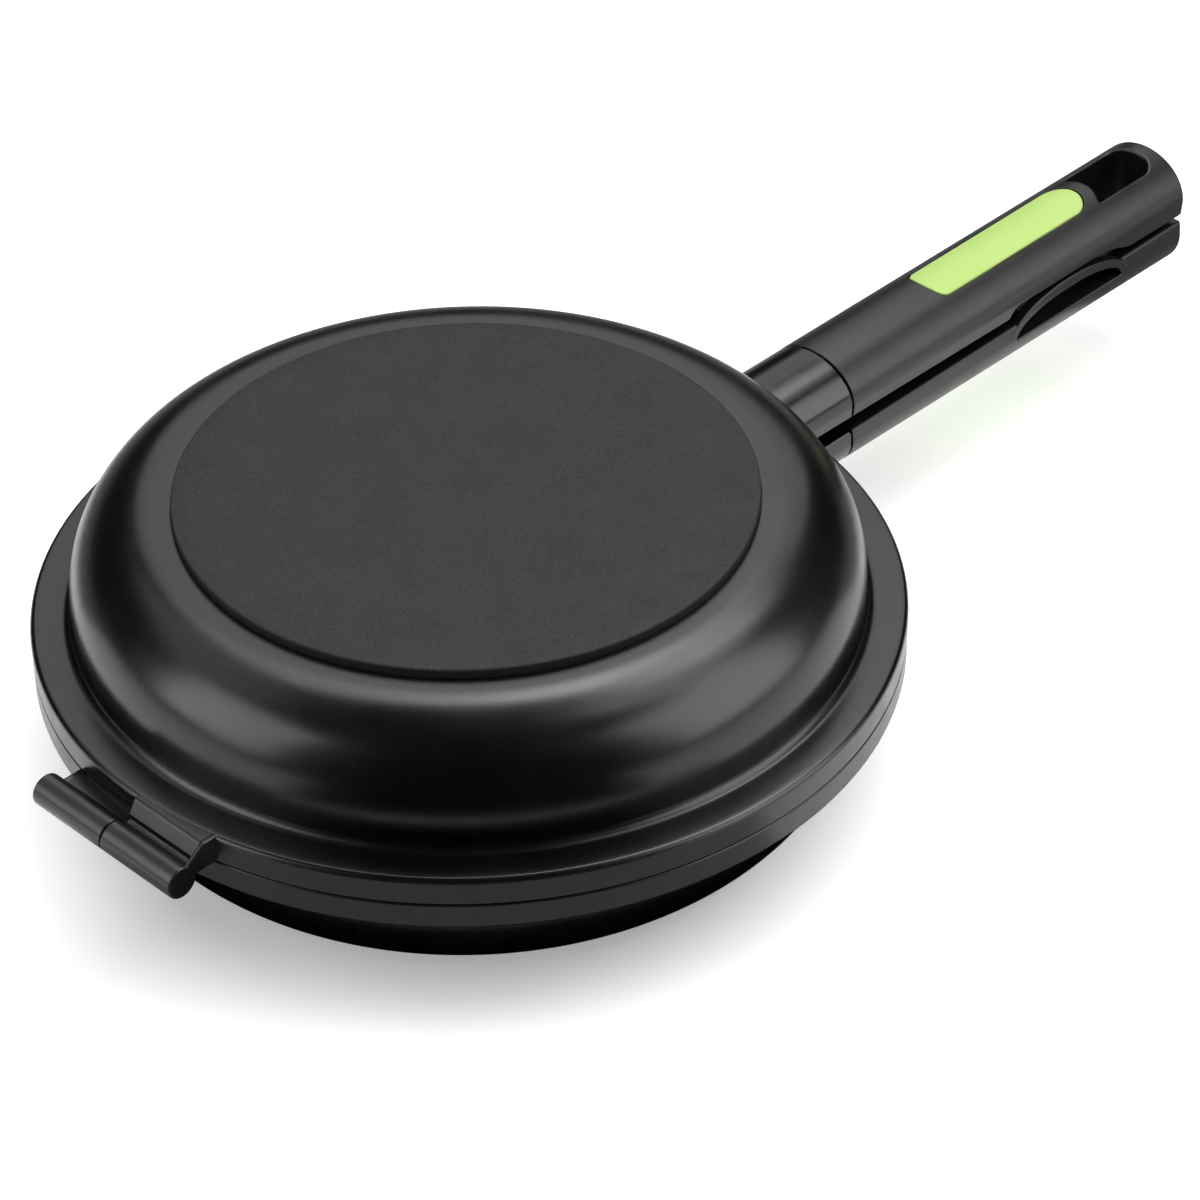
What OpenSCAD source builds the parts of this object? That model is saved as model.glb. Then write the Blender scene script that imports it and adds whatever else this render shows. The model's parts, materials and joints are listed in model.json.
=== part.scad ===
// Double omelette pan: two equal cast pans that close on each other, with a barrel hinge and paired handles.
// Origin: centre of the lower base disc's underside. +Z up, +X along the handles, the hinge pin along Y.
// Every piece is drawn once, for a half whose parting plane is z = 0 and whose base points up.

/* [Pan] */
// Radius of the flange's rim
flange_r = 130; // [125:1:135]
// Height of the flange above the parting plane
flange_h = 8.9; // [8:0.1:10]
// Outer radius of the pan's wall
wall_r = 117.5; // [115:0.5:119]
// Thickness of the pan's wall and floor
wall_t = 3; // [2.5:0.1:3.5]
// Radius of the round shoulder between wall and floor
shoulder_r = 26.2; // [22:0.1:30]
// Height of the pan's outer floor above the parting plane
floor_h = 44.4; // [42:0.1:48]
// Radius of the fillet between wall and flange
fillet_r = 3; // [1:0.5:4]
// Radius on the flange's outer edge
rim_round = 1.6; // [0.5:0.1:3]
// Half of the slit between the two closed halves
slit = 0.15; // [0.15:0.01:0.3]

/* [Base disc] */
// Radius of the base disc
disc_r = 86; // [80:1:89]
// Height that the disc stands proud of the pan
disc_proud = 2.8; // [2:0.1:4]
// Depth that the disc is let into the pan's floor
disc_inset = 0.6; // [0.4:0.1:1]
// Chamfer on the disc's edge
disc_chamfer = 0.6; // [0.3:0.1:1]

/* [Hinge] */
// Distance from the pan's axis to the hinge pin
hinge_x = 139.2; // [138:0.1:141]
// Outer radius of a knuckle
knuckle_r = 5.05; // [4.8:0.05:5.5]
// Length of one knuckle
knuckle_len = 29.3; // [26:0.1:32]
// Radius of the hinge pin
pin_r = 2; // [1.5:0.1:2.5]
// Radial clearance of the pin in the knuckle that turns
pin_clear = 0.06; // [0.02:0.01:0.1]
// Depth of the blind bore in a knuckle
bore_depth = 24; // [20:1:26]
// Radius of the hollow that clears the other half's knuckle
clearance_r = 12; // [11:0.1:12.4]

/* [Handle] */
// Where the ferrule ends and the grip starts
seam_x = 151.9; // [148:0.1:156]
// Where the grip ends
grip_end_x = 319.5; // [310:0.5:330]
// Half of the handle's width
half_w = 17.2; // [16:0.1:18]
// Height of the handle's widest line
widest_z = 6.8; // [6:0.1:8]
// Height of the lower edge at the seam, above the parting plane
edge_seam_z = 2.6; // [2:0.1:3]
// Height of the lower edge at the grip's end
edge_end_z = 1.1; // [1:0.1:2]
// Height of the handle's back at the seam
back_seam_z = 20; // [19:0.1:21]
// Height of the handle's back at the grip's end
back_end_z = 21.6; // [20:0.1:23]

/* [Grip details] */
// Start of the green pad
pad_start_x = 205; // [200:1:210]
// Centre of the pad's round end
pad_end_x = 272.8; // [268:0.1:276]
// Half of the pad's width
pad_half_w = 8.1; // [7:0.1:9]
// Radius of the pad's two square corners
pad_corner = 3; // [1:0.1:4]
// Depth of the pad's recess
pad_depth = 1; // [0.8:0.1:1.5]
// Outer end of the hang slot
slot_end_x = 313.5; // [310:0.1:314]
// Half of the hang slot's width
slot_half_w = 8.6; // [7:0.1:9]
// Radius of the hang slot's two outer corners
slot_corner = 6.5; // [4:0.1:8]
// Radius of the hang slot's inner end, about the pad's round end
slot_inner_r = 14; // [12:0.1:15]
// Middle of the tongue, pocket and notch
scallop_x = 260.5; // [255:0.5:262]
// Height of the finger pocket's straight side
chord_z = 7.5; // [7:0.1:8]
// Half-length and height of the tongue's arch
tongue_size = [30.5, 12.1];
// Half-length and height of the finger pocket's arch
pocket_size = [27.3, 8.2];
// Depth of the finger pocket
pocket_depth = 8; // [5:0.5:9]
// Thickness of the tongue
tongue_t = 3.8; // [3:0.1:4.5]

/* [Handle screw] */
// Height of the screw above the parting plane
screw_z = 9.6; // [9:0.1:11]
// Radius of the screw's shank
screw_r = 2.5; // [2:0.1:3]
// Inner end of the screw, in the pan's lug
screw_tip_x = 121; // [120:0.5:124]
// Face that the washer bears on
seat_x = 275; // [270:0.5:277]
// Radius of the screw's head
head_r = 4.4; // [4:0.1:4.6]
// Height of the screw's head
head_h = 4; // [3:0.1:5]
// Radius of the socket in the head, across its corners
socket_r = 2.3; // [2:0.1:2.6]
// Thickness of the washer
washer_t = 1.2; // [1:0.1:1.6]

/* [Hidden] */
$fn = 96;
parting_z = floor_h + disc_proud;
shoulder_x = wall_r - shoulder_r;
shoulder_z = floor_h - shoulder_r;
eps = 0.01;
bar_skirt = 4;
seam_gap = 0.1;
tall = 30;
head_room = 14;
lug_end = wall_r + 22.5;
lug_w = 18;
lug_z = [4.2, 15.8];
back_tilt = atan((back_end_z - back_seam_z) / (grip_end_x - seam_x));
edge_tilt = atan((edge_seam_z - edge_end_z) / (grip_end_x - seam_x));
pan_grey = "#26272a";
disc_grey = "#414244";
gloss_black = "#0c0c0d";
satin_black = "#1c1c1e";
lime = "#c8f06e";
steel = "#b9bcc0";

// ---- Placing the halves ----

module upper() translate([0, 0, parting_z]) children();
module lower() upper() rotate([180, 0, 0]) children();

// ---- Pan ----

// Right half of a pan's outline, with its wall at radius r, its floor at height h and its shoulder's radius s.
module pan_outline(r, h, s) {
    square([r, shoulder_z]);
    square([shoulder_x, h]);
    translate([shoulder_x, shoulder_z]) circle(r = s);
}

module flange_outline() {
    difference() {
        translate([0, slit]) square([flange_r, flange_h - slit]);
        translate([flange_r - rim_round, flange_h - rim_round]) difference() {
            square(rim_round + eps);
            circle(r = rim_round);
        }
    }
}

module fillet_outline() {
    translate([wall_r, flange_h]) difference() {
        square(fillet_r);
        translate([fillet_r, fillet_r]) circle(r = fillet_r);
    }
}

// Solid of revolution of everything outside the cooking surface, which the ferrule is fitted against.
module pan_body() {
    rotate_extrude() intersection() {
        union() {
            pan_outline(wall_r, floor_h, shoulder_r);
            flange_outline();
            fillet_outline();
        }
        translate([0, slit]) square([flange_r, floor_h]);
    }
}

module cooking_space() {
    rotate_extrude() intersection() {
        pan_outline(wall_r - wall_t, floor_h - wall_t, shoulder_r - wall_t);
        square([flange_r, floor_h]);
    }
}

// Turns a shape drawn in X and Z into a bar along Y, from y0 to y1.
module along_y(y0, y1) translate([0, y1, 0]) rotate([90, 0, 0]) linear_extrude(y1 - y0) children();

module at_hinge(r, y0, y1) along_y(y0, y1) translate([-hinge_x, 0]) circle(r = r);

// Knuckle with the sloped web that joins it to the flange.
module knuckle(bore_r) {
    web = [
        [-hinge_x, slit], [-hinge_x + 4.3, 2.9], [-hinge_x + 5.4, 3.7], [-131, 8.3],
        [-130.4, flange_h], [-124, flange_h], [-124, slit]
    ];
    difference() {
        union() {
            at_hinge(knuckle_r, -knuckle_len, -slit);
            along_y(-knuckle_len, -slit) polygon(web);
        }
        at_hinge(bore_r, -bore_depth, 0);
    }
}

// Block on the pan's wall that the ferrule slides over and the screw holds.
module lug_block(start) {
    translate([start, -lug_w / 2, lug_z[0]]) cube([lug_end - start, lug_w, lug_z[1] - lug_z[0]]);
}

module pan(bore_r) {
    color(pan_grey) difference() {
        union() {
            difference() {
                pan_body();
                cooking_space();
                at_hinge(clearance_r, -slit, knuckle_len);
            }
            knuckle(bore_r);
            lug_block(wall_r - wall_t / 2);
        }
        translate([0, 0, floor_h - disc_inset]) cylinder(r = disc_r, h = 2 * disc_inset);
        screw_bore(screw_r, screw_tip_x);
    }
}

module base_disc() {
    color(disc_grey) translate([0, 0, floor_h - disc_inset]) {
        cylinder(r = disc_r, h = disc_inset + disc_proud - disc_chamfer);
        translate([0, 0, disc_inset + disc_proud - disc_chamfer])
            cylinder(r1 = disc_r, r2 = disc_r - disc_chamfer, h = disc_chamfer);
    }
}

module hinge_pin() {
    color(steel) at_hinge(pin_r, 0.5 - bore_depth, bore_depth);
}

// ---- Handle section and its bar ----

// Half-round section across the handle, drawn smaller all round by inset and left long below.
module section(inset) {
    w = half_w - inset;
    h = back_seam_z - inset - widest_z;
    polygon(concat(
        [[w, -bar_skirt]],
        [for (a = [0 : 6 : 180]) [w * cos(a), widest_z + h * sin(a)]],
        [[-w, -bar_skirt]]
    ));
}

// Bar of that section from x0 to x1. Its back rises and its lower edge falls towards the grip's end.
module handle_bar(x0, x1, inset) {
    difference() {
        translate([seam_x, 0, 0]) rotate([0, -back_tilt, 0]) translate([x0 - seam_x, 0, 0])
            rotate([90, 0, 90]) linear_extrude(x1 - x0) section(inset);
        translate([seam_x, 0, edge_seam_z + inset]) rotate([0, edge_tilt, 0])
            translate([x0 - seam_x - tall, -half_w - 1, -4 * bar_skirt])
                cube([x1 - x0 + 2 * tall, 2 * half_w + 2, 4 * bar_skirt]);
    }
}

module grip_bar(inset) {
    handle_bar(seam_x + seam_gap, grip_end_x - inset, inset);
}

// Screw's path from its tip to the hang slot.
module screw_bore(r, from_x) {
    translate([from_x, 0, screw_z]) rotate([0, 90, 0]) cylinder(r = r, h = seat_x + 1 - from_x);
}

module ferrule() {
    color(gloss_black) difference() {
        handle_bar(wall_r - wall_t, seam_x - seam_gap, 0);
        pan_body();
        lug_block(wall_r - wall_t);
        screw_bore(screw_r + 0.2, screw_tip_x);
    }
}

// ---- Grip ----

// Points of an arc about c, from angle a0 to a1.
function arc(c, r, a0, a1, steps = 8) =
    [for (i = [0 : steps]) let (a = a0 + (a1 - a0) * i / steps) c + r * [cos(a), sin(a)]];

// Pad's plan outline, grown all round by g.
module pad_outline(g) {
    x0 = pad_start_x - g + pad_corner;
    y0 = pad_half_w + g - pad_corner;
    polygon(concat(
        arc([pad_end_x, 0], pad_half_w + g, -90, 90, 24),
        arc([x0, y0], pad_corner, 90, 180),
        arc([x0, -y0], pad_corner, 180, 270)
    ));
}

// The slot's inner end is curved about the pad's round end.
module hang_slot() {
    x0 = slot_end_x - slot_corner;
    y0 = slot_half_w - slot_corner;
    spread = asin(slot_half_w / slot_inner_r);
    translate([0, 0, -1]) linear_extrude(tall) polygon(concat(
        arc([x0, -y0], slot_corner, -90, 0),
        arc([x0, y0], slot_corner, 0, 90),
        arc([pad_end_x, 0], slot_inner_r, spread, -spread, 12)
    ));
}

// Half of an ellipse that hangs from the pocket's straight side towards the other handle.
module arch(size) {
    polygon([for (a = [0 : 6 : 180]) [scallop_x + size[0] * cos(a), chord_z - size[1] * sin(a)]]);
}

// Room for the other handle's tongue.
module notch() {
    reach = tongue_size[1] - chord_z + 1.5;
    along_y(-half_w - 1, tongue_t + 0.6 - half_w)
        polygon([[227, -1], [228.5, 2], [232.5, reach], [279, reach], [291.5, 1.6], [293, -1]]);
}

module grip() {
    color(satin_black) {
        difference() {
            grip_bar(0);
            difference() {
                translate([0, 0, widest_z]) linear_extrude(tall) pad_outline(0.25);
                grip_bar(pad_depth);
            }
            hang_slot();
            notch();
            along_y(half_w - pocket_depth, half_w + 1) arch(pocket_size);
            screw_bore(screw_r + 0.2, seam_x);
            translate([seat_x, 0, screw_z]) rotate([0, 90, 0]) cylinder(r = head_r + 0.4, h = head_room);
        }
        tongue();
    }
}

module tongue() {
    along_y(half_w - tongue_t, half_w - 0.1) difference() {
        arch(tongue_size);
        arch(pocket_size);
        translate([scallop_x - 40, widest_z - 1]) square([80, 5]);
    }
}

module grip_pad() {
    color(lime) difference() {
        intersection() {
            translate([0, 0, widest_z]) linear_extrude(tall) pad_outline(0);
            grip_bar(0.1);
        }
        grip_bar(pad_depth);
    }
}

// ---- Handle screw ----

module screw_washer() {
    color(steel) translate([seat_x, 0, screw_z]) rotate([0, 90, 0]) difference() {
        cylinder(r = head_r + 0.2, h = washer_t);
        translate([0, 0, -1]) cylinder(r = screw_r + 0.1, h = washer_t + 2);
    }
}

module handle_screw() {
    color(steel) translate([screw_tip_x, 0, screw_z]) rotate([0, 90, 0]) {
        cylinder(r = screw_r, h = seat_x + washer_t + 1 - screw_tip_x);
        translate([0, 0, seat_x + washer_t - screw_tip_x]) difference() {
            cylinder(r = head_r, h = head_h);
            translate([0, 0, 0.4 * head_h]) cylinder(r = socket_r, h = head_h, $fn = 6);
        }
    }
}

lower() pan(pin_r);  // lower_pan
lower() base_disc();  // lower_base_disc
lower() ferrule();  // lower_ferrule
lower() grip();  // lower_grip
lower() grip_pad();  // lower_grip_pad
lower() handle_screw();  // lower_handle_screw
lower() screw_washer();  // lower_screw_washer
upper() hinge_pin();
upper() pan(pin_r + pin_clear);  // upper_pan
upper() base_disc();  // upper_base_disc
upper() ferrule();  // upper_ferrule
upper() grip();  // upper_grip
upper() grip_pad();  // upper_grip_pad
upper() handle_screw();  // upper_handle_screw
upper() screw_washer();  // upper_screw_washer
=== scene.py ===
"""Looks of a double omelette pan: two equal hinged pans with paired half-round handles."""

import json
import math

import bpy
import numpy as np
from mathutils import Matrix, Vector


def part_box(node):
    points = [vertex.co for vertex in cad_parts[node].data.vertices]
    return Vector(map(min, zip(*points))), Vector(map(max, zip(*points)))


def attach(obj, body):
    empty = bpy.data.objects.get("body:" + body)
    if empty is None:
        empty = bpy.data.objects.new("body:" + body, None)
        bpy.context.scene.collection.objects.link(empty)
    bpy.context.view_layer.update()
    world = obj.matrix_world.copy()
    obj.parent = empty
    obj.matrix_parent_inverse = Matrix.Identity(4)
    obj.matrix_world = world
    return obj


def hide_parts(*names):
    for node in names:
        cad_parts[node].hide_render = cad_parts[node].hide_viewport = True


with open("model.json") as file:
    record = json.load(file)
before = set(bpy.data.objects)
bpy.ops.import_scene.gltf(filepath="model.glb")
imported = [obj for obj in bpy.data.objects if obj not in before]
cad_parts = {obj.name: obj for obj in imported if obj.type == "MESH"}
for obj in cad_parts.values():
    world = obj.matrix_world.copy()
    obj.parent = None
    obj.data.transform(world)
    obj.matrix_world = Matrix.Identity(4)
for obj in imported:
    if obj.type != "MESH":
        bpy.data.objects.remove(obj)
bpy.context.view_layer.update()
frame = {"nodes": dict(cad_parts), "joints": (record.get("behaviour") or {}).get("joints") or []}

# ---- Sizes in millimetres, in the frame of one half ---------------------------------------------------------
# A half is drawn with its parting plane at z = 0, its base up, its handle along +X and its hinge along Y.
# The upper half is lifted to the hinge's height. The lower half is turned over about the handle's line first.

MM = 0.001
HINGE = frame["joints"][0]["pos_m"]
HINGE_X = -HINGE[0] / MM


def half_box(node):
    """Lowest and highest corner of an upper node, in the frame of a half."""
    drop = Vector((0, 0, HINGE[2]))
    return [(Vector(corner) - drop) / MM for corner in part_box(node)]


PAN_LOW, PAN_HIGH = half_box("upper_pan")
DISC_LOW, DISC_HIGH = half_box("upper_base_disc")
FERRULE_HIGH = half_box("upper_ferrule")[1]
GRIP_LOW, GRIP_HIGH = half_box("upper_grip")
PAD_LOW, PAD_HIGH = half_box("upper_grip_pad")

SLIT = 0.15
FLANGE_R = PAN_HIGH.y
FLANGE_H = 8.9
FLOOR_H = PAN_HIGH.z
WALL_R = 117.5
WALL_T = 3.0
SHOULDER_R = 26.2
FILLET_R = 3.0
RIM_ROUND = 1.6
LIP_ROUND = 0.5
DISC_R = DISC_HIGH.x
DISC_ROUND = 0.6
DISC_GAP = 0.1
SEAT_EDGE = 0.15
AXIS_R = 0.02
CLEARANCE_R = 12.0

KNUCKLE_R = -PAN_LOW.z
KNUCKLE_LEN = 29.3
BORE_R = 2.06
BORE_DEPTH = 24.0
WEB_INSET = 0.06
WEB_END = -124.5
WEB_SLOPE = ((5.4 - HINGE_X, 3.7), (-131.0, 8.3))
CAP_SLOPE = ((2.4 - HINGE_X, 4.5), (-130.6, 8.84))
CAP_T = 1.3
VALLEY = (4.9 - HINGE_X, 3.5)
VALLEY_R = 1.15

SEAM_X = 0.5 * (FERRULE_HIGH.x + GRIP_LOW.x)
SEAM_GAP = 0.35
SEAM_DEPTH = 1.2
GRIP_END = GRIP_HIGH.x
HALF_W = GRIP_HIGH.y
WIDEST_Z = 6.8
BACK_SEAM = FERRULE_HIGH.z
BACK_END = GRIP_HIGH.z
EDGE_SEAM = 2.6
EDGE_END = 1.1
SIDE_DRAFT = math.radians(5)

PAD_START = PAD_LOW.x
PAD_HALF_W = PAD_HIGH.y
PAD_END_X = PAD_HIGH.x - PAD_HALF_W
PAD_CORNER = 2.4
PAD_START_R = 17.8
PAD_START_BULGE = 1.0
PAD_DEPTH = 1.0
PAD_BED = WIDEST_Z + 4
SLOT_END = 313.5
SLOT_HALF_W = 8.6
SLOT_INNER_R = 14.0
SLOT_CORNER = 6.5
SCALLOP_X = 260.5
CHORD_Z = 7.5
TONGUE = (30.5, 12.1)
POCKET = (27.3, 8.2)
POCKET_DEPTH = 8.0
TONGUE_T = 3.8
NOTCH_FOOT = ((227.6, 1.0), (291.5, 1.6))
NOTCH_ROOF_X = (232.5, 279.0)
NOTCH_GAP = 0.6
NOTCH_HEADROOM = 1.5
SCREW_Z = 9.6
SCREW_SEAT = 275.0
SCREW_HEAD_R = 4.8
SCREW_BORE_R = 2.7
SCREW_ROOM = 15.0
SCREW_WEB = 1.0

# ---- Signed distances, negative inside ----------------------------------------------------------------------


def both(a, b, r):
    """Intersection of two solids, with its edge rounded to radius r."""
    u = np.maximum(a + r, 0)
    v = np.maximum(b + r, 0)
    return np.minimum(-r, np.maximum(a, b)) + np.hypot(u, v)


def either(a, b, r):
    """Union of two solids, with its corner filled to radius r."""
    return -both(-a, -b, r)


def without(a, b, r):
    """Solid a less solid b, with its edge rounded to radius r."""
    return both(a, -b, r)


def ellipse(u, v, a, b):
    q = np.hypot(u / a, v / b)
    slope = np.hypot(u / a**2, v / b**2) + 1e-6
    return q * (q - 1) / slope


def line_side(u, v, start, end):
    """Distance from the line through two points, negative on the line's right."""
    du, dv = end[0] - start[0], end[1] - start[1]
    return (-(u - start[0]) * dv + (v - start[1]) * du) / math.hypot(du, dv)


def handle_bar(x, y, z, inset=0.0):
    """Half-round bar of the handle, without ends."""
    t = (x - SEAM_X) / (GRIP_END - SEAM_X)
    back = BACK_SEAM + (BACK_END - BACK_SEAM) * t - inset
    edge = EDGE_SEAM + (EDGE_END - EDGE_SEAM) * t + inset
    w = HALF_W - inset
    up = z - WIDEST_Z
    crown = ellipse(y, np.maximum(up, 0), w, back - WIDEST_Z)
    side = (np.abs(y) - w - np.minimum(up, 0) * math.tan(SIDE_DRAFT)) * math.cos(SIDE_DRAFT)
    return both(np.where(up > 0, crown, side), edge - z, 1.0)


def pad_plan(x, y, grow):
    w = PAD_HALF_W + grow
    start = np.hypot(x - PAD_START + PAD_START_BULGE - PAD_START_R, y) - PAD_START_R - grow
    bar = both(np.abs(y) - w, np.where(x < PAD_START + PAD_HALF_W, start, -w), PAD_CORNER)
    return np.where(x > PAD_END_X, np.hypot(x - PAD_END_X, y) - w, bar)


def slot_plan(x, y):
    """Hang slot: square outer end with round corners, inner end curved about the pad's round end."""
    outer = both(np.abs(y) - SLOT_HALF_W, x - SLOT_END, SLOT_CORNER)
    outer = np.maximum(outer, PAD_END_X - x)
    return both(outer, SLOT_INNER_R - np.hypot(x - PAD_END_X, y), 0.8)


def notch(x, y, z):
    """Room for the other handle's tongue, on the side of negative y."""
    reach = TONGUE[1] - CHORD_Z + NOTCH_HEADROOM
    outline = both(z - reach, line_side(x, z, NOTCH_FOOT[0], (NOTCH_ROOF_X[0], reach)), 1.2)
    outline = both(outline, line_side(x, z, (NOTCH_ROOF_X[1], reach), NOTCH_FOOT[1]), 2.0)
    return both(outline, y + HALF_W - TONGUE_T - NOTCH_GAP, 0.5)


def grip_shape(p):
    x, y, z = p[..., 0], p[..., 1], p[..., 2]
    solid = both(handle_bar(x, y, z), x - GRIP_END, 0.7)
    solid = both(solid, SEAM_X + SEAM_GAP - x, 0.25)
    core = both(SEAM_X + 0.02 - x, x - GRIP_END + 5, 0.1)
    solid = np.minimum(solid, both(handle_bar(x, y, z, SEAM_DEPTH), core, 0.1))
    recess = both(pad_plan(x, y, 0.3), -handle_bar(x, y, z, PAD_DEPTH), 0.1)
    solid = without(solid, both(recess, PAD_BED - z, 0.1), 0.2)
    arch = ellipse(x - SCALLOP_X, z - CHORD_Z, *TONGUE)
    plate = both(arch, np.abs(y - HALF_W + 0.5 * TONGUE_T + 0.1) - 0.5 * TONGUE_T, 0.5)
    plate = both(plate, z - WIDEST_Z + 1, 0.1)
    solid = either(solid, plate, 0.3)
    pocket = both(ellipse(x - SCALLOP_X, z - CHORD_Z, *POCKET), z - CHORD_Z, 0.6)
    pocket = both(pocket, HALF_W - POCKET_DEPTH - y, 1.5)
    solid = without(solid, pocket, 0.45)
    solid = without(solid, notch(x, y, z), 0.45)
    solid = without(solid, slot_plan(x, y), 0.9)
    around = np.hypot(y, z - SCREW_Z)
    head_room = both(around - SCREW_HEAD_R, np.abs(x - SCREW_SEAT - 0.5 * SCREW_ROOM) - 0.5 * SCREW_ROOM, 0.1)
    solid = without(solid, head_room, 0.3)
    return without(solid, both(around - SCREW_BORE_R, x - SCREW_SEAT - SCREW_WEB, 0.1), 0.1)


def pad_shape(p):
    x, y, z = p[..., 0], p[..., 1], p[..., 2]
    solid = both(handle_bar(x, y, z, 0.12), pad_plan(x, y, -0.02), 0.45)
    solid = both(solid, PAD_BED - z, 0.1)
    return both(solid, -handle_bar(x, y, z, PAD_DEPTH - 0.05), 0.1)


def ferrule_shape(p):
    x, y, z = p[..., 0], p[..., 1], p[..., 2]
    solid = both(handle_bar(x, y, z), x - SEAM_X + SEAM_GAP, 0.25)
    solid = np.minimum(solid, both(handle_bar(x, y, z, SEAM_DEPTH), x - SEAM_X + 0.02, 0.1))
    solid = both(solid, WALL_R - 1.8 - x, 0.1)
    solid = without(solid, both(np.hypot(x, y) - FLANGE_R, z - FLANGE_H, 0.1), 0.1)
    return without(solid, np.hypot(y, z - SCREW_Z) - SCREW_BORE_R, 0.1)


def knuckle_shape(p):
    """Knuckle barrel, the sloped web that joins it to the flange, and the cap at the web's end."""
    x, y, z = p[..., 0], p[..., 1], p[..., 2]
    height = both(SLIT + WEB_INSET - z, z - FLANGE_H + WEB_INSET, 0.05)
    barrel = np.hypot(x + HINGE_X, z) - KNUCKLE_R
    web = both(height, line_side(x, z, *WEB_SLOPE), 0.8)
    web = both(both(web, x - WEB_END, 0.1), -HINGE_X - x, 0.1)
    valley = both(np.hypot(x - VALLEY[0], z - VALLEY[1]) - VALLEY_R, CAP_T - 0.1 - KNUCKLE_LEN - y, 0.3)
    cap = both(line_side(x, z, *CAP_SLOPE), y + KNUCKLE_LEN - CAP_T, 0.3)
    cap = both(cap, np.maximum(SLIT + WEB_INSET - z, z - FLANGE_H + WEB_INSET), 0.05)
    cap = both(cap, np.maximum(-HINGE_X - x, x - WEB_END), 0.1)
    solid = either(without(either(barrel, web, 0.5), valley, 0.3), cap, 0.2)
    solid = both(solid, np.maximum(y + SLIT, -KNUCKLE_LEN - y), 0.4)
    bore = both(np.hypot(x + HINGE_X, z) - BORE_R, -BORE_DEPTH - y, 0.1)
    return without(solid, bore, 0.1)


# ---- Meshes --------------------------------------------------------------------------------------------------


def gradient(shape, points, h=0.02):
    """Unit normals of a distance field, and the lengths of its gradient."""
    out = np.empty_like(points)
    for axis in range(3):
        step = np.zeros(3)
        step[axis] = h
        out[:, axis] = (shape(points + step) - shape(points - step)) / (2 * h)
    size = np.linalg.norm(out, axis=1, keepdims=True) + 1e-9
    return out / size, size


def surface_net(shape, low, high, step):
    """Closed quad mesh of a distance field: one point in each grid cell that the surface crosses."""
    axes = [np.arange(a - 2 * step, b + 3 * step, step) for a, b in zip(low, high)]
    grid = np.stack(np.meshgrid(*axes, indexing="ij"), axis=-1)
    value = shape(grid)
    inside = value < 0
    cells = np.array(value.shape) - 1
    total = np.zeros((*cells, 3))
    count = np.zeros(cells, dtype=int)
    for axis in range(3):
        for far in np.ndindex(2, 2):
            a = np.insert(far, axis, 0)
            b = np.insert(far, axis, 1)
            at_a = tuple(slice(o, o + n) for o, n in zip(a, cells))
            at_b = tuple(slice(o, o + n) for o, n in zip(b, cells))
            crossed = inside[at_a] != inside[at_b]
            va, vb = value[at_a][crossed], value[at_b][crossed]
            t = (va / (va - vb))[:, None]
            total[crossed] += grid[at_a][crossed] * (1 - t) + grid[at_b][crossed] * t
            count[crossed] += 1
    used = count > 0
    index = np.full(cells, -1)
    index[used] = np.arange(used.sum())
    points = total[used] / count[used][:, None]
    quads = []
    for axis in range(3):
        u, v = (axis + 1) % 3, (axis + 2) % 3
        here = [slice(1, -1)] * 3
        here[axis] = slice(0, -1)
        there = list(here)
        there[axis] = slice(1, None)
        a, b = inside[tuple(here)], inside[tuple(there)]
        at = np.argwhere(a != b)
        at[:, u] += 1
        at[:, v] += 1
        leaving = a[a != b]
        ring = []
        for du, dv in ((0, 0), (-1, 0), (-1, -1), (0, -1)):
            cell = at.copy()
            cell[:, u] += du
            cell[:, v] += dv
            ring.append(index[tuple(cell.T)])
        ring = np.stack(ring, axis=1)
        ring[~leaving] = ring[~leaving][:, ::-1]
        quads.append(ring)
    for _ in range(3):
        normal, size = gradient(shape, points)
        shift = shape(points)[:, None] / np.maximum(size, 0.5)
        points -= normal * np.clip(shift, -step, step)
    return points, np.concatenate(quads), gradient(shape, points)[0]


def lathe(outline, angles, cut=None):
    """Ring of quads around Z from a closed outline of (r, z) points."""
    r, z = np.array(outline).T
    rings = []
    for angle in angles:
        radius = r if cut is None else cut(r, z, angle)
        rings.append(np.stack([radius * math.cos(angle), radius * math.sin(angle), z], axis=1))
    points = np.concatenate(rings)
    n, m = len(angles), len(outline)
    i, k = np.meshgrid(np.arange(n), np.arange(m), indexing="ij")
    a, b = i * m + k, i * m + (k + 1) % m
    c, d = ((i + 1) % n) * m + (k + 1) % m, ((i + 1) % n) * m + k
    quads = np.stack([a, d, c, b], axis=-1).reshape(-1, 4)
    return points, quads


def arc(centre, radius, start, end, steps):
    """Points of an arc in the (r, z) plane, its angles in degrees."""
    turns = [math.radians(start + (end - start) * i / steps) for i in range(steps + 1)]
    return [(centre[0] + radius * math.cos(a), centre[1] + radius * math.sin(a)) for a in turns]


def straight(start, end, steps):
    """Points between two points, without either end."""
    return [tuple(np.array(start) + (np.array(end) - start) * i / steps) for i in range(1, steps)]


# ---- Placing pieces ------------------------------------------------------------------------------------------

PLACE = {
    "upper": Matrix.Translation((0, 0, HINGE[2])),
    "lower": Matrix.Translation((0, 0, HINGE[2])) @ Matrix.Rotation(math.pi, 4, "X"),
}


def make_mesh(name, points, faces, normals=None, sharp_angle=None, parts=None):
    mesh = bpy.data.meshes.new(name)
    mesh.from_pydata((points * MM).tolist(), [], [list(map(int, f)) for f in faces])
    mesh.update()
    mesh.polygons.foreach_set("use_smooth", [True] * len(mesh.polygons))
    if parts is not None:
        mesh.polygons.foreach_set("material_index", parts)
    if sharp_angle is not None:
        mesh.set_sharp_from_angle(angle=math.radians(sharp_angle))
    if normals is not None:
        mesh.normals_split_custom_set_from_vertices(normals.tolist())
    return mesh


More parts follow.
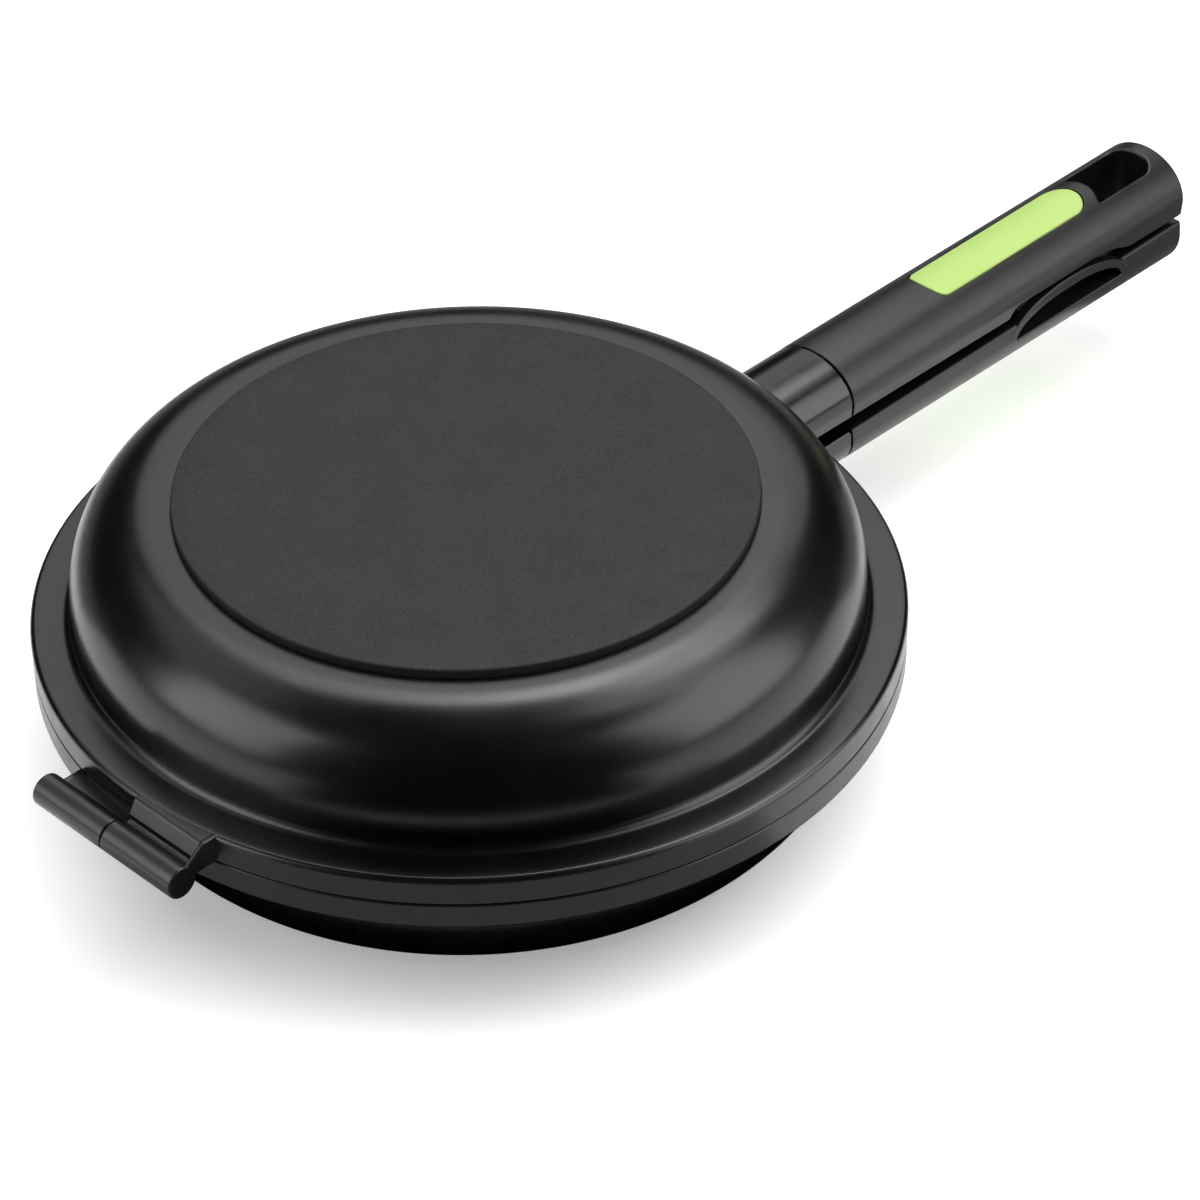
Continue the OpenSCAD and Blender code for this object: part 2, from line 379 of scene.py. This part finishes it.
def add_pair(piece, mesh, materials, node):
    """Puts one mesh on both halves, each riding its own body in place of its CAD node."""
    for material in materials:
        mesh.materials.append(material)
    for half, place in PLACE.items():
        copy = mesh.copy()
        copy.transform(place)
        obj = bpy.data.objects.new(f"{half}_{piece}", copy)
        bpy.context.collection.objects.link(obj)
        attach(obj, f"{half}_half")
        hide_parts(f"{half}_{node}")


# ---- Pan -----------------------------------------------------------------------------------------------------


def pan_outline():
    """Cross-section of the pan in three runs: base and wall, machined edge of the flange, and cooking side."""
    shoulder = (WALL_R - SHOULDER_R, FLOOR_H - SHOULDER_R)
    seat = DISC_LOW.z
    seat_r = DISC_R + DISC_GAP
    inner_floor = FLOOR_H - WALL_T
    inner_r = WALL_R - WALL_T
    rim = (FLANGE_R - RIM_ROUND, FLANGE_H - RIM_ROUND)
    lip = (FLANGE_R - LIP_ROUND, SLIT + LIP_ROUND)
    mouth = (inner_r + LIP_ROUND, SLIT + LIP_ROUND)
    outside = [(AXIS_R, seat)]
    outside += straight((AXIS_R, seat), (seat_r, seat), 12)
    outside += [(seat_r, seat), (seat_r, FLOOR_H - SEAT_EDGE), (seat_r + SEAT_EDGE, FLOOR_H)]
    outside += arc(shoulder, SHOULDER_R, 90, 0, 40)
    outside += straight((WALL_R, shoulder[1]), (WALL_R, FLANGE_H + FILLET_R), 5)
    outside += arc((WALL_R + FILLET_R, FLANGE_H + FILLET_R), FILLET_R, 180, 270, 10)
    outside += straight((WALL_R + FILLET_R, FLANGE_H), (rim[0], FLANGE_H), 6)
    outside += arc(rim, RIM_ROUND, 90, 45, 4)
    edge = arc(rim, RIM_ROUND, 45, 0, 4)[1:]
    edge += straight((FLANGE_R, rim[1]), (FLANGE_R, lip[1]), 24)
    edge += arc(lip, LIP_ROUND, 0, -90, 4)
    edge += straight((lip[0], SLIT), (mouth[0], SLIT), 6)
    inside = arc(mouth, LIP_ROUND, 270, 180, 4)
    inside += straight((inner_r, mouth[1]), (inner_r, shoulder[1]), 8)
    inside += arc(shoulder, SHOULDER_R - WALL_T, 0, 90, 40)
    inside += straight((shoulder[0], inner_floor), (AXIS_R, inner_floor), 12)
    inside += [(AXIS_R, inner_floor)]
    return outside, edge, inside


def clear_knuckle(r, z, angle):
    """Presses the flange's side in where the other half's knuckle turns."""
    y = FLANGE_R * math.sin(angle)
    if math.cos(angle) > 0 or y < 0.02:
        return r
    gap = np.sqrt(np.maximum(CLEARANCE_R**2 - z**2, 0))
    reach = (HINGE_X - gap) / -math.cos(angle)
    return np.where((r > FLANGE_R - 8) & (z < FLANGE_H - 0.2), np.minimum(r, reach), r)


def pan_angles():
    """Angles around the pan, closer together where the hinge is."""
    coarse = np.radians(np.arange(-165, 165, 1.0))
    fine = np.radians(np.arange(165, 195, 0.25))
    return np.concatenate([coarse, fine])


def disc_outline():
    low, high = DISC_LOW.z, DISC_HIGH.z
    edge = (DISC_R - DISC_ROUND, high - DISC_ROUND)
    points = [(AXIS_R, high)] + straight((AXIS_R, high), (edge[0], high), 16)
    points += arc(edge, DISC_ROUND, 90, 0, 5)
    points += [(DISC_R, low)] + straight((DISC_R, low), (AXIS_R, low), 6) + [(AXIS_R, low)]
    return points


# ---- Materials -----------------------------------------------------------------------------------------------


class Shader:
    """A Principled material and the few nodes that vary it."""

    def __init__(self, name, **values):
        self.material = bpy.data.materials.new(name)
        self.material.use_nodes = True
        self.tree = self.material.node_tree
        self.main = self.tree.nodes["Principled BSDF"]
        for key, value in values.items():
            self.main.inputs[key.replace("_", " ")].default_value = value
        self.place = self.node("ShaderNodeTexCoord").outputs["Object"]

    def node(self, kind, **inputs):
        node = self.tree.nodes.new(kind)
        for key, value in inputs.items():
            node.inputs[key].default_value = value
        return node

    def join(self, output, target):
        self.tree.links.new(output, target)

    def noise(self, scale, detail=2.0, stretch=(1, 1, 1)):
        """Noise over the object, with scale in features per metre."""
        mapping = self.node("ShaderNodeMapping", Scale=stretch)
        self.join(self.place, mapping.inputs["Vector"])
        noise = self.node("ShaderNodeTexNoise", Scale=scale, Detail=detail)
        self.join(mapping.outputs["Vector"], noise.inputs["Vector"])
        return noise.outputs["Fac"]

    def spread(self, source, low, high, to_low, to_high):
        """Maps a stretch of a value to another stretch, held at both ends."""
        node = self.node("ShaderNodeMapRange")
        for key, value in (("From Min", low), ("From Max", high), ("To Min", to_low), ("To Max", to_high)):
            node.inputs[key].default_value = value
        self.join(source, node.inputs["Value"])
        return node.outputs["Result"]

    def combine(self, operation, a, b):
        node = self.tree.nodes.new("ShaderNodeMath")
        node.operation = operation
        self.join(a, node.inputs[0])
        self.join(b, node.inputs[1])
        return node.outputs["Value"]

    def painted_edge_highlight(self, amount):
        """Painted highlight: lighter broken patches along convex edges, up to that amount."""
        edges = self.spread(self.node("ShaderNodeNewGeometry").outputs["Pointiness"], 0.51, 0.56, 0, 1)
        patches = self.spread(self.noise(220, 4.0), 0.45, 0.62, 0, amount)
        return self.combine("MULTIPLY", edges, patches)

    def mix_colour(self, factor, a, b):
        node = self.tree.nodes.new("ShaderNodeMix")
        node.data_type = "RGBA"
        node.inputs["A"].default_value = (*a, 1)
        node.inputs["B"].default_value = (*b, 1)
        self.join(factor, node.inputs["Factor"])
        self.join(node.outputs["Result"], self.main.inputs["Base Color"])

    def roughness(self, source, low, high):
        self.join(self.spread(source, 0.3, 0.7, low, high), self.main.inputs["Roughness"])

    def bump(self, source, height, below=None):
        """Bump whose height is in metres; below is an earlier bump to lie on."""
        node = self.node("ShaderNodeBump", Strength=1.0, Distance=height)
        self.join(source, node.inputs["Height"])
        if below is not None:
            self.join(below, node.inputs["Normal"])
        self.join(node.outputs["Normal"], self.main.inputs["Normal"])
        return node.outputs["Normal"]


def enamel():
    """Black satin enamel with a faint metallic speckle."""
    s = Shader("pan_enamel", Metallic=0.0)
    speckle = s.noise(2600, 1.0)
    # The lighter colour holds the metallic speckle and a painted highlight along convex edges.
    tone_and_painted_highlight = s.combine("MAXIMUM", s.spread(speckle, 0.58, 0.72, 0, 0.4), s.painted_edge_highlight(1.0))
    s.mix_colour(tone_and_painted_highlight, (0.0012, 0.0012, 0.0012), (0.008, 0.008, 0.0084))
    s.roughness(s.noise(40, 3.0), 0.24, 0.30)
    peel = s.bump(s.noise(300, 2.0), 0.000002)
    s.bump(speckle, 0.0000008, peel)
    return s.material


def satin_edge():
    """The same coat over a machined surface: greyer, with a fine grain."""
    s = Shader("pan_satin_edge", Metallic=0.0)
    grain = s.noise(1800, 2.0)
    # The lighter colour holds the grain and a painted highlight along convex edges.
    tone_and_painted_highlight = s.combine("MAXIMUM", grain, s.painted_edge_highlight(0.6))
    s.mix_colour(tone_and_painted_highlight, (0.002, 0.002, 0.002), (0.0055, 0.0055, 0.0057))
    s.roughness(s.noise(120, 3.0), 0.26, 0.34)
    s.bump(grain, 0.000008)
    return s.material


def non_stick():
    """Plain black non-stick coat of the cooking side, sprayed on with a faint orange peel."""
    s = Shader("pan_non_stick", Metallic=0.0)
    s.mix_colour(s.noise(1400, 2.0), (0.006, 0.006, 0.0063), (0.012, 0.012, 0.0125))
    s.roughness(s.noise(70, 3.0), 0.34, 0.42)
    peel = s.bump(s.noise(450, 2.0), 0.00002)
    s.bump(s.noise(2200, 2.0), 0.000006, peel)
    return s.material


def ground_disc():
    """Matt dark grey base with a fine sandy grain."""
    s = Shader("base_disc_grain", Metallic=0.0, Specular_IOR_Level=0.2)
    grain = s.noise(1500, 4.0)
    s.mix_colour(s.spread(grain, 0.35, 0.7, 0, 1), (0.012, 0.012, 0.0124), (0.024, 0.024, 0.0244))
    s.roughness(s.noise(90, 3.0), 0.55, 0.63)
    s.bump(grain, 0.00004)
    return s.material


def gloss_black():
    """Glossy black paint of the ferrules."""
    s = Shader("ferrule_gloss_black", Metallic=0.0)
    s.mix_colour(s.noise(60, 2.0), (0.0010, 0.0010, 0.0010), (0.0018, 0.0018, 0.0018))
    s.roughness(s.noise(150, 3.0), 0.17, 0.23)
    s.bump(s.noise(300, 2.0), 0.000002)
    return s.material


def satin_black():
    """Moulded black plastic with a fine spark-eroded skin."""
    s = Shader("grip_satin_black", Metallic=0.0, Specular_IOR_Level=0.44)
    # The lighter colour holds a mottled tone and a painted highlight along convex edges.
    tone_and_painted_highlight = s.combine("MAXIMUM", s.noise(50, 2.0), s.painted_edge_highlight(1.0))
    s.mix_colour(tone_and_painted_highlight, (0.0030, 0.0030, 0.0031), (0.0055, 0.0055, 0.0057))
    s.roughness(s.noise(120, 3.0), 0.32, 0.38)
    s.bump(s.noise(1900, 3.0), 0.000012)
    return s.material


def lime_rubber():
    """Soft matt green rubber of the grip pads."""
    s = Shader("pad_lime_rubber", Metallic=0.0, Sheen_Weight=0.15)
    s.mix_colour(s.noise(45, 2.0), (0.37, 0.56, 0.118), (0.42, 0.60, 0.147))
    s.roughness(s.noise(200, 3.0), 0.50, 0.60)
    s.bump(s.noise(2200, 2.0), 0.00002)
    return s.material


def bright_steel():
    """Steel drawn along the handles, for screws, washers and the hinge pin."""
    s = Shader("bright_steel", Metallic=1.0)
    brushed = s.noise(900, 3.0, stretch=(0.1, 1, 1))
    s.mix_colour(brushed, (0.52, 0.52, 0.53), (0.66, 0.66, 0.67))
    s.roughness(brushed, 0.22, 0.36)
    s.bump(brushed, 0.000008)
    return s.material


# ---- The object ----------------------------------------------------------------------------------------------


def net_mesh(name, shape, low, high, step):
    """Mesh of a distance field between two corners, on a grid of that step in millimetres."""
    points, quads, normals = surface_net(shape, low, high, step)
    return make_mesh(name, points, quads, normals=normals)


def build_pans():
    outside, edge, inside = pan_outline()
    angles = pan_angles()
    points, quads = lathe(outside + edge + inside, angles, clear_knuckle)
    parts = [0] * len(outside) + [1] * len(edge) + [2] * len(inside)
    mesh = make_mesh("pan_shell", points, quads, sharp_angle=40, parts=parts * len(angles))
    satin = satin_edge()
    add_pair("pan_shell", mesh, (enamel(), satin, non_stick()), "pan")
    low = (-HINGE_X - KNUCKLE_R, -KNUCKLE_LEN, -KNUCKLE_R)
    mesh = net_mesh("knuckle", knuckle_shape, low, (WEB_END, 0, FLANGE_H), 0.3)
    add_pair("hinge_knuckle", mesh, (satin,), "pan")


def build_discs():
    points, quads = lathe(disc_outline(), np.radians(np.arange(0, 360, 1.0)))
    mesh = make_mesh("base_plate", points, quads, sharp_angle=60)
    add_pair("base_plate", mesh, (ground_disc(),), "base_disc")


def build_handles():
    low = (WALL_R - 2, -HALF_W, EDGE_END)
    mesh = net_mesh("ferrule", ferrule_shape, low, (SEAM_X, HALF_W, BACK_SEAM), 0.4)
    add_pair("flame_guard", mesh, (gloss_black(),), "ferrule")
    low = (SEAM_X, -HALF_W, CHORD_Z - TONGUE[1])
    mesh = net_mesh("grip", grip_shape, low, (GRIP_END, HALF_W, BACK_END), 0.5)
    add_pair("grip_shell", mesh, (satin_black(),), "grip")
    low = (PAD_START - PAD_START_BULGE, -PAD_HALF_W, WIDEST_Z + 8)
    high = (PAD_END_X + PAD_HALF_W, PAD_HALF_W, BACK_END)
    mesh = net_mesh("pad", pad_shape, low, high, 0.3)
    add_pair("soft_pad", mesh, (lime_rubber(),), "grip_pad")


def dress_cad_node(name, material):
    mesh = frame["nodes"][name].data
    mesh.materials.clear()
    mesh.materials.append(material)


def build_object():
    build_pans()
    build_discs()
    build_handles()
    steel = bright_steel()
    dress_cad_node("hinge_pin", steel)
    for half in PLACE:
        dress_cad_node(f"{half}_handle_screw", steel)
        dress_cad_node(f"{half}_screw_washer", steel)


# ---- Stage ---------------------------------------------------------------------------------------------------

CAMERA_AIM = (0.0317, -0.0229, 0.0472)
CAMERA_AZIMUTH = -45.13
CAMERA_ELEVATION = 37.52
CAMERA_ROLL = -0.75
CAMERA_DISTANCE = 1.2485
CAMERA_LENS = 125.15

# Softboxes: name, azimuth, elevation, width and height in metres, watts. The first set is seen in the reflections
# only, and the second lights the floor and the matt pieces only.
LIGHT_AIM = (0, 0, 0.05)
LIGHT_DISTANCE = 2.0
GLOSS_PANELS = (
    ("left", 244, 27, (1.3, 1.5), 21),
    ("right_front", 32, 28, (1.6, 1.7), 30),
    ("top_front", 60, 62, (1.0, 0.9), 8),
    ("top", 108, 58, (1.1, 0.7), 13),
    ("top_back", 142, 56, (1.0, 0.8), 7),
    ("back_left", 195, 52, (1.3, 0.9), 3.5),
    ("back", 132, 32, (1.7, 0.8), 5),
)
FILL_PANELS = (
    ("overhead", 0, 88, (3.2, 3.2), 71),
    ("right", 60, 45, (1.8, 1.8), 18),
    ("left", 240, 40, (1.8, 1.8), 7),
)
WORLD_LIGHT = 0.01
FLOOR_SIZE = 30
FLOOR_GLOW = 0.36

# Cards on the floor: name, near and far radius in metres, first and last azimuth, brightness. They keep the
# reflection of the white floor out of the pan's sides. The black card under the pan and the grey card near it are
# painted shade: they put the floor's shadow under and beside the pan into the reflections.
CARDS = (
    # painted shade: a black sheet under the pan that shows as its contact shadow in the reflections
    ("painted_shade_under", 0.001, 0.142, (0, 360), 0.0),
    # painted shade: a grey ring beside the pan, as dark as the floor's shadow there, seen in the reflections
    ("painted_shade_near", 0.142, 0.24, (-105, 8), 0.45),
    ("card_front", 0.24, 8.0, (-84, -6), 0.0),
    ("card_back", 0.30, 4.0, (70, 205), 0.27),
)
CARD_Z = 0.001
CARD_STEPS = 48


def add_camera():
    data = bpy.data.cameras.new("camera")
    data.lens = CAMERA_LENS
    data.sensor_width = 36
    camera = bpy.data.objects.new("camera", data)
    bpy.context.collection.objects.link(camera)
    azimuth, elevation = math.radians(CAMERA_AZIMUTH), math.radians(CAMERA_ELEVATION)
    back = Vector((math.sin(azimuth) * math.cos(elevation), -math.cos(azimuth) * math.cos(elevation),
                   math.sin(elevation)))
    turn = Matrix.Rotation(azimuth, 4, "Z") @ Matrix.Rotation(math.pi / 2 - elevation, 4, "X")
    turn = turn @ Matrix.Rotation(math.radians(CAMERA_ROLL), 4, "Z")
    camera.matrix_world = Matrix.Translation(Vector(CAMERA_AIM) + back * CAMERA_DISTANCE) @ turn
    bpy.context.scene.camera = camera


def add_floor():
    bpy.ops.mesh.primitive_plane_add(size=FLOOR_SIZE, location=(0, 0, 0))
    floor = bpy.context.object
    floor.name = "floor"
    s = Shader("floor_white", Metallic=0.0, Roughness=0.9, Emission_Strength=FLOOR_GLOW)
    s.main.inputs["Base Color"].default_value = (0.9, 0.9, 0.9, 1)
    s.main.inputs["Emission Color"].default_value = (1, 1, 1, 1)
    floor.data.materials.append(s.material)


def add_card(name, near, far, azimuths, brightness):
    """Card on the floor, a sector of a ring about the object, seen in the reflections only."""
    turns = np.radians(np.linspace(*azimuths, CARD_STEPS + 1))
    rim = [(radius * math.sin(a), -radius * math.cos(a), CARD_Z) for radius in (near, far) for a in turns]
    faces = [(i, i + CARD_STEPS + 1, i + CARD_STEPS + 2, i + 1) for i in range(CARD_STEPS)]
    mesh = bpy.data.meshes.new(name)
    mesh.from_pydata(rim, [], faces)
    s = Shader(name, Metallic=0.0, Roughness=1.0, Specular_IOR_Level=0.0)
    s.main.inputs["Base Color"].default_value = (brightness, brightness, brightness, 1)
    mesh.materials.append(s.material)
    card = bpy.data.objects.new(name, mesh)
    bpy.context.collection.objects.link(card)
    card.visible_camera = card.visible_diffuse = card.visible_shadow = False


def add_light(name, azimuth, elevation, size, power):
    """Softbox seen from the object at that azimuth and elevation, in degrees."""
    data = bpy.data.lights.new(name, "AREA")
    data.shape = "RECTANGLE"
    data.size, data.size_y = size
    data.energy = power
    light = bpy.data.objects.new(name, data)
    bpy.context.collection.objects.link(light)
    a, e = math.radians(azimuth), math.radians(elevation)
    offset = Vector((math.sin(a) * math.cos(e), -math.cos(a) * math.cos(e), math.sin(e))) * LIGHT_DISTANCE
    light.location = Vector(LIGHT_AIM) + offset
    light.rotation_euler = offset.to_track_quat("Z", "Y").to_euler()
    return light


def add_world():
    world = bpy.data.worlds.new("studio")
    world.use_nodes = True
    world.node_tree.nodes["Background"].inputs["Color"].default_value = (1, 1, 1, 1)
    world.node_tree.nodes["Background"].inputs["Strength"].default_value = WORLD_LIGHT
    bpy.context.scene.world = world


build_object()
add_camera()
add_floor()
for card in CARDS:
    add_card(*card)
add_world()
for name, azimuth, elevation, size, power in GLOSS_PANELS:
    add_light(f"panel_{name}", azimuth, elevation, size, power).visible_diffuse = False
for name, azimuth, elevation, size, power in FILL_PANELS:
    add_light(f"fill_{name}", azimuth, elevation, size, power).visible_glossy = False
bpy.context.scene.view_settings.view_transform = "Standard"
